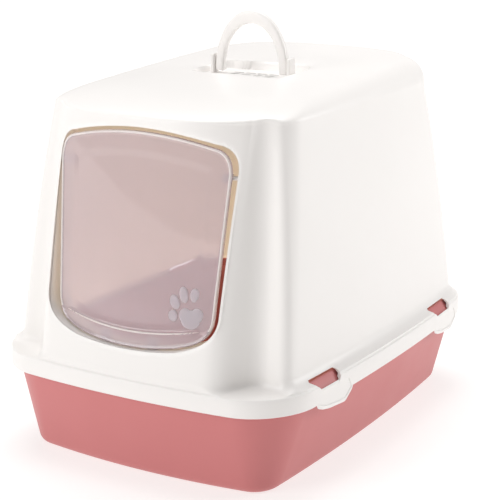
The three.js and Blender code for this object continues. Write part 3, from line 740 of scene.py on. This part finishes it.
def make_tray():
    outer, inner = [], []
    for turn in np.linspace(0, math.pi / 2, 9):
        drop = TRAY_ROUND * (1 - math.cos(turn))
        pull = TRAY_ROUND * (1 - math.sin(turn))
        outer.append(ring(tray_reach(drop, pull), drop))
        inner.append(ring(tray_reach(TRAY_WALL + drop, TRAY_WALL + pull), TRAY_WALL + drop))
    for z in np.linspace(12, 90.5, 26):
        outer.append(ring(tray_reach(z, 0), z))
    for z in np.linspace(14, 89, 14):
        inner.append(ring(tray_reach(z, TRAY_WALL), z))
    rounded = [(TRAY_RIM - 0.8, 0), (TRAY_RIM - 0.2, 0.2), (TRAY_RIM, 0.8)]
    band = [(91, 0.3), (91.3, 1.2), (91.5, 4.0), (92.1, 4.8), (TRAY_LIP_LOW, TRAY_LIP)]
    for z, out in band + [(z, TRAY_LIP - back) for z, back in rounded]:
        outer.append(ring(tray_reach(z, -out), z))
    step = [(TRAY_LIP_LOW, -2.0), (94.5, -0.5), (96, 2.2)]
    for z, out in step + [(z, 2.6 + back) for z, back in rounded]:
        inner.append(ring(tray_reach(z, -out), z))
    scales = (0.985, 0.9, 0.7, 0.45, 0.2, 0.04)
    underside = [outer[0] * [s, s, 1] for s in reversed(scales)]
    floor = [inner[0] * [s, s, 1] for s in scales]
    rings = underside + outer + inner[::-1] + floor
    belong(make_object("tray_pan", *skin(rings), ROSE), "base", "tray_rose", "tray")


def make_catches():
    """The raised parts of the tray's rim, behind the windows."""
    profile = [(-5, 100.5), (-5, TRAY_RIM - 0.5), (-4.6, TRAY_RIM + 0.2), (2.2, CATCH_TOP - 0.6),
               (2.9, CATCH_TOP), (4.4, CATCH_TOP), (5.0, CATCH_TOP - 0.6), (-2.2, TRAY_RIM),
               (-2.6, 100.5)]
    ends = [(0, 1.2), (0.4, 0.5), (1.2, 0)]
    stations = [(CATCH_FROM + along, pull) for along, pull in ends]
    stations += [(y, 0) for y in np.linspace(CATCH_FROM + 4, CATCH_TO - 4, 15)]
    stations += [(CATCH_TO - along, pull) for along, pull in reversed(ends)]
    for side, side_name in SIDES:
        for shift, end_name in ENDS:
            sections = []
            for y, pull in stations:
                points = np.array([(tray_side(y + shift, inset), z) for inset, z in profile])
                centre = points.mean(0)
                away = points - centre
                points = centre + away * (1 - pull / (np.linalg.norm(away, axis=1)[:, None] + 1.3))
                along = np.full(len(points), y + shift)
                sections.append(np.stack([side * points[:, 0], along, points[:, 1]], 1))
            piece = make_object(f"tray_catch_{end_name}_{side_name}", *skin(sections), ROSE, 50)
            recalculate(piece)
            belong(piece, "base", "tray_rose")


def tray_side(y, inset):
    """X of the tray rim's side at each y."""
    return (TRAY_TOP_X - inset) * (1 - BOW_SIDE * (y / TRAY_TOP_Y) ** 2)


# ---------------------------------------------------------------- door
DOOR_MIDDLE = np.array([0.0, 245.0])
BEAD_INSET = 1.5                  # middle of the bead inside the door's edge
RIDGE_HALF = 80                   # half length of the moulded line above the lower lip


def ridge_height(x):
    """Height of the moulded line above the door's lower lip."""
    return 157.4 + 5 * (x / 62) ** 2


def door_relief(x, z, edge):
    """How far the door's front stands forward of its plain arch."""
    bead = 0.8 * np.exp(-((edge - 1.6) / 1.2) ** 2)
    band = 0.5 * smooth_step((26 - edge) / 9)
    below = ridge_height(x) - z
    ridge = 2.2 * np.exp(-(below / 1.3) ** 2) * smooth_step((82 - np.abs(x)) / 10)
    lip = 1.5 * smooth_step(below / 3)
    return bead + band + ridge + lip


def make_door():
    front, back = [], []
    for share in np.concatenate([[0, 0.004, 0.012], np.linspace(0.022, 0.985, 88)]):
        line = DOOR_MIDDLE + (DOOR_LINE - DOOR_MIDDLE) * (1 - share)
        x, z = line[:, 0], line[:, 1]
        edge = -outline_distance(DOOR_LINE, x, z)
        face = door_face(x, z)
        roll = 0.9 * (1 - np.clip(edge / 0.9, 0, 1)) ** 2
        lift = door_relief(x, z, np.maximum(edge, 0)) - roll
        front.append(np.stack([x, face - np.maximum(lift, -0.9), z], 1))
        back.append(np.stack([x, face + DOOR_THICK - 0.5 * roll, z], 1))
    panel = make_object("door_panel", *skin(front[::-1] + back), SMOKE, 50)
    belong(panel, "door", "door_smoke", "door_flap")
    for side, name in SIDES:
        make_hub(side, name)


def make_hub(side, name):
    """A hub the door turns on, and the web that carries it behind the door."""
    near, far = on_side(side, HUB_NEAR, HUB_FAR)
    end = HUB_RADIUS - 0.7
    profile = [(near, end), (near + 0.6, HUB_RADIUS), (far - 0.6, HUB_RADIUS), (far, end)]
    hub = make_object(f"door_hub_{name}", *skin(bar_rings(profile, HINGE_Y, HINGE_Z, 40)), PALE_SMOKE_AND_PAINTED_HIGHLIGHT, 50)
    belong(hub, "door", "door_smoke")
    front = door_face(WEB_X, HINGE_Z) + 1.6
    web = bevelled_box(f"door_web_{name}", (near + 1, front, HINGE_Z - WEB_HALF),
                       (far - 1, HINGE_Y - 2, HINGE_Z + WEB_HALF), PALE_SMOKE_AND_PAINTED_HIGHLIGHT)
    belong(web, "door", "door_smoke")


def make_door_rim():
    """The rounded bead along the door's edge, a real bead whose paler, cloudier plastic is a painted
    highlight where the edge catches the light.
    """
    line = grown(DOOR_LINE, -BEAD_INSET)
    rings = []
    for turn in np.linspace(0, 2 * math.pi, 12, endpoint=False):
        out = grown(line, 1.3 * math.cos(turn))
        face = door_face(line[:, 0], line[:, 1]) - 0.5
        rings.append(np.stack([out[:, 0], face - 1.1 * math.sin(turn), out[:, 1]], 1))
    piece = make_object("door_rim_bead", *skin(rings, loop=True), PALE_SMOKE_AND_PAINTED_HIGHLIGHT, 60)
    recalculate(piece)
    belong(piece, "door", "door_smoke")


def make_door_ridge():
    """The moulded line just above the door's lower lip, a real ridge whose paler, cloudier plastic is a
    painted highlight along it.
    """
    turn = np.linspace(0, 2 * math.pi, 12, endpoint=False)
    rings = []
    for x in np.linspace(-RIDGE_HALF, RIDGE_HALF, 81):
        z = ridge_height(x)
        size = 0.9 * math.sqrt(1.02 - (x / RIDGE_HALF) ** 4)
        y = door_face(x, z) - 1.9
        rings.append(np.stack([np.full(12, x), y - size * np.sin(turn), z + size * np.cos(turn)], 1))
    piece = make_object("door_ridge_bead", *skin(rings), PALE_SMOKE_AND_PAINTED_HIGHLIGHT, 60)
    recalculate(piece)
    belong(piece, "door", "door_smoke")


def make_paw():
    """A paw in low relief near the door's lower corner."""
    pads = [(69.8, 176.4, 10.2, 9.6, 0), (63.8, 180.2, 6.6, 7.2, 8), (76.0, 181.2, 6.6, 7.4, -8),
            (50.8, 178.8, 4.8, 5.8, 12), (52.0, 192.3, 5.0, 7.4, 24), (61.0, 200.3, 4.6, 8.2, 12),
            (72.3, 200.9, 4.6, 6.9, -6)]
    points, faces = [], []
    turn = np.linspace(0, 2 * math.pi, 40, endpoint=False)
    for x0, z0, a, b, tilt in pads:
        tip = math.radians(tilt)
        base = sum(len(p) for p in points)
        rings = []
        for share, rise in ((1.0, -0.4), (1.0, 0.25), (0.93, 0.62), (0.8, 0.8), (0.5, 0.9), (0.15, 0.9)):
            u, v = a * share * np.cos(turn), b * share * np.sin(turn)
            x = x0 + u * math.cos(tip) - v * math.sin(tip)
            z = z0 + u * math.sin(tip) + v * math.cos(tip)
            rings.append(np.stack([x, door_face(x, z) - rise, z], 1))
        part_points, part_faces = skin(rings)
        points.append(part_points)
        faces += [[base + i for i in face] for face in part_faces]
    piece = make_object("door_paw_relief", np.concatenate(points), faces, RELIEF, 60)
    belong(piece, "door", "door_smoke")


# ---------------------------------------------------------------- handle
def handle_section(middle, across, half_band, half_depth):
    """A ring of the handle's band: a rectangle with well rounded corners."""
    turn = np.linspace(0, 2 * math.pi, 28, endpoint=False)
    power = 0.62
    c = np.sign(np.cos(turn)) * np.abs(np.cos(turn)) ** power
    s = np.sign(np.sin(turn)) * np.abs(np.sin(turn)) ** power
    points = middle[None, :] + c[:, None] * half_band * across[None, :]
    points[:, 1] += s * half_depth
    return points


def handle_leg(side, foot):
    """The straight end of the handle below its pivot, from the foot up."""
    half_band = HANDLE_BAND / 2
    x = side * (HANDLE_OUTER - half_band)
    across = np.array([side * 1.0, 0, 0])
    return [handle_section(np.array([x, HANDLE_Y, foot + up]), across,
                           half_band * share, HANDLE_DEPTH / 2 * share)
            for up, share in ((0.0, 0.72), (0.5, 0.9), (1.4, 1.0), (3.2, 1.0))]


def handle_point(half_width, rise, turn):
    """A point of an arch over the handle's pivot."""
    return np.array([half_width * math.cos(turn), HANDLE_Y, HANDLE_PIVOT + rise * math.sin(turn)])


def make_handle():
    foot, top = [corner[2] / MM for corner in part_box("handle")]
    rise = top - HANDLE_PIVOT
    rings = handle_leg(1, foot)
    for turn in np.linspace(0, math.pi, 90):
        outside = handle_point(HANDLE_OUTER, rise, turn)
        inside = handle_point(HANDLE_OUTER - HANDLE_BAND, rise - HANDLE_CROWN, turn)
        reach = outside - inside
        band = np.linalg.norm(reach)
        rings.append(handle_section((outside + inside) / 2, reach / band, band / 2, HANDLE_DEPTH / 2))
    rings += handle_leg(-1, foot)[::-1]
    piece = make_object("handle_arch", *skin(rings), WHITE, 60)
    recalculate(piece)
    belong(piece, "handle", "shell_white", "handle")
    ends = [(43.5, STUB_RADIUS), (48.7, STUB_RADIUS), (49.2, STUB_RADIUS - 0.2), (49.5, STUB_RADIUS - 0.7)]
    for side, name in SIDES:
        rings = bar_rings([(side * x, radius) for x, radius in ends], HANDLE_Y, HANDLE_PIVOT)
        stub = make_object(f"handle_stub_{name}", *skin(rings), WHITE, 50)
        recalculate(stub)
        belong(stub, "handle", "shell_white")


# ---------------------------------------------------------------- snap tabs
def skirt_x(y, inset):
    """X of the skirt's side at each y."""
    bow = 1 - BOW_SIDE * (y / HALF_LENGTH) ** 2
    return (HALF_WIDTH - inset) * bow


def make_tabs():
    for side, side_name in SIDES:
        for shift, end_name in ENDS:
            line = rounded_line(tab_line(shift), 1.6)
            centre = line.mean(0)
            rings = []
            levels = [(WALL, 0.7), (WALL - 0.4, 0.2), (WALL - 0.9, 0), (0.7, 0), (0.15, 0.4), (0, 1.0),
                      (0.0, 2.4), (0.55, 3.2), (0.7, 4.2)]
            for inset, pull in levels:
                edge = grown(line, -pull)
                rings.append(np.stack([side * skirt_x(edge[:, 0], inset), edge[:, 0], edge[:, 1]], 1))
            inner_edge = grown(line, -4.2)
            for share in (0.7, 0.35, 0.05):
                spot = centre + (inner_edge - centre) * share
                rings.append(np.stack([side * skirt_x(spot[:, 0], 0.7), spot[:, 0], spot[:, 1]], 1))
            name = f"{end_name}_{side_name}"
            piece = make_object(f"snap_tab_{name}", *skin(rings), WHITE, 50)
            recalculate(piece)
            belong(piece, f"tab_{name}", "shell_white", f"tab_{name}")


# ---------------------------------------------------------------- filter
def make_filter():
    low, high = [[v / MM for v in corner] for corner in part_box("filter_pad")]
    nx, ny = 66, 46
    xs = np.linspace(low[0], high[0], nx)
    ys = np.linspace(low[1], high[1], ny)
    gx, gy = np.meshgrid(xs, ys, indexing="ij")
    edge = -rounded_distance(gx - (low[0] + high[0]) / 2, gy - (low[1] + high[1]) / 2,
                             (high[0] - low[0]) / 2, (high[1] - low[1]) / 2, 3)
    crown = 1 - np.clip(1 - edge / 4, 0, 1) ** 2
    lumps = 0.35 * np.sin(gx * 0.9) * np.sin(gy * 0.8)
    top = high[2] - 1.4 + crown * 1.0 + lumps * crown
    bottom = low[2] + 1.2 - crown * 1.1
    points = np.concatenate([np.stack([gx, gy, z], 2).reshape(-1, 3) for z in (top, bottom)])
    index = np.arange(nx * ny).reshape(nx, ny)
    faces = []
    a, b, c, d = index[:-1, :-1], index[1:, :-1], index[1:, 1:], index[:-1, 1:]
    quads = np.stack([a, b, c, d], 2).reshape(-1, 4)
    faces += quads.tolist()
    faces += (quads[:, ::-1] + nx * ny).tolist()
    border = np.concatenate([index[:, 0], index[-1, 1:], index[-2::-1, -1], index[0, -2:0:-1]])
    after = np.roll(border, -1)
    faces += np.stack([border + nx * ny, after + nx * ny, after, border], 1).tolist()
    pad = make_object("charcoal_pad", points, faces, FOAM, 60)
    recalculate(pad)
    belong(pad, "filter", "charcoal_foam", "filter_pad")
    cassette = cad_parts["filter_cassette"]
    cassette.data.materials.clear()
    cassette.data.materials.append(WHITE)


# ---------------------------------------------------------------- studio
FLOOR_HALF = 40.0                 # metres


def make_studio():
    mesh = bpy.data.meshes.new("floor")
    corners = [(x * FLOOR_HALF, y * FLOOR_HALF, 0) for x, y in ((-1, -1), (1, -1), (1, 1), (-1, 1))]
    mesh.from_pydata(corners, [], [(0, 1, 2, 3)])
    floor = bpy.data.objects.new("floor", mesh)
    m = Nodes("pale_floor")
    m.colour(m.blend(m.noise(3, 2), (0.38, 0.375, 0.372), (0.35, 0.347, 0.345)))
    # Painted light: the floor glows, dimmer near the box and brighter further off, to whiten the backdrop
    # and light the box from below.
    away = m.tree.nodes.new("ShaderNodeVectorMath")
    away.operation = "LENGTH"
    m.link(m.place, away.inputs[0])
    painted_floor_glow = m.between(away.outputs["Value"], 0.7, 0.97)
    painted_floor_glow.node.inputs["From Min"].default_value = 0.35
    painted_floor_glow.node.inputs["From Max"].default_value = 1.5
    m.link(painted_floor_glow, m.shader.inputs["Emission Strength"])
    m.set(Roughness=0.6, Emission_Color=(1, 0.99, 0.98, 1))
    mesh.materials.append(m.material)
    bpy.context.collection.objects.link(floor)
    world = bpy.data.worlds.new("studio")
    bpy.context.scene.world = world
    world.use_nodes = True
    back = world.node_tree.nodes["Background"]
    back.inputs["Color"].default_value = (1.0, 0.98, 0.972, 1)
    back.inputs["Strength"].default_value = 0.28
    bpy.context.scene.view_settings.view_transform = "Standard"
    lamp("front_softbox", (-1.25, -2.3, 1.3), (0, 0, 0.25), 1.3, 29)
    lamp("side_softbox", (2.1, 1.8, 1.2), (0, 0, 0.25), 1.3, 31)
    lamp("back_softbox", (-0.6, 2.8, 0.75), (0, 0, 0.35), 1.6, 3)
    lamp("top_softbox", (-0.4, 0.4, 2.8), (0, 0, 0.2), 1.8, 54)
    glow = lamp("light_through_hood", (0, 0, 0.104), (0, 0, 1), 0.33, 0.42)
    glow.data.shape = "RECTANGLE"
    glow.data.size_y = 0.44
    glow.data.color = (1, 0.89, 0.63)
    glow.visible_camera = False
    glow.visible_transmission = False
    glow.visible_glossy = False


def aim(thing, target):
    direction = Vector(target) - thing.location
    thing.rotation_euler = direction.to_track_quat("-Z", "Y").to_euler()


def lamp(name, place, target, size, power):
    light = bpy.data.lights.new(name, "AREA")
    light.shape = "SQUARE"
    light.size = size
    light.energy = power
    thing = bpy.data.objects.new(name, light)
    thing.location = place
    aim(thing, target)
    bpy.context.collection.objects.link(thing)
    return thing


def make_camera():
    camera = bpy.data.cameras.new("camera")
    camera.lens = 103.07
    camera.sensor_width = 36
    thing = bpy.data.objects.new("camera", camera)
    thing.location = (0.79941, -1.34425, 0.60069)
    aim(thing, (0.00218, 0.00234, 0.18614))
    bpy.context.collection.objects.link(thing)
    bpy.context.scene.camera = thing


make_camera()
make_studio()
make_hood()
make_doorway_return()
make_lugs()
make_rails_and_stops()
make_pins()
make_tray()
make_catches()
make_door()
make_door_rim()
make_door_ridge()
make_paw()
make_handle()
make_tabs()
make_filter()
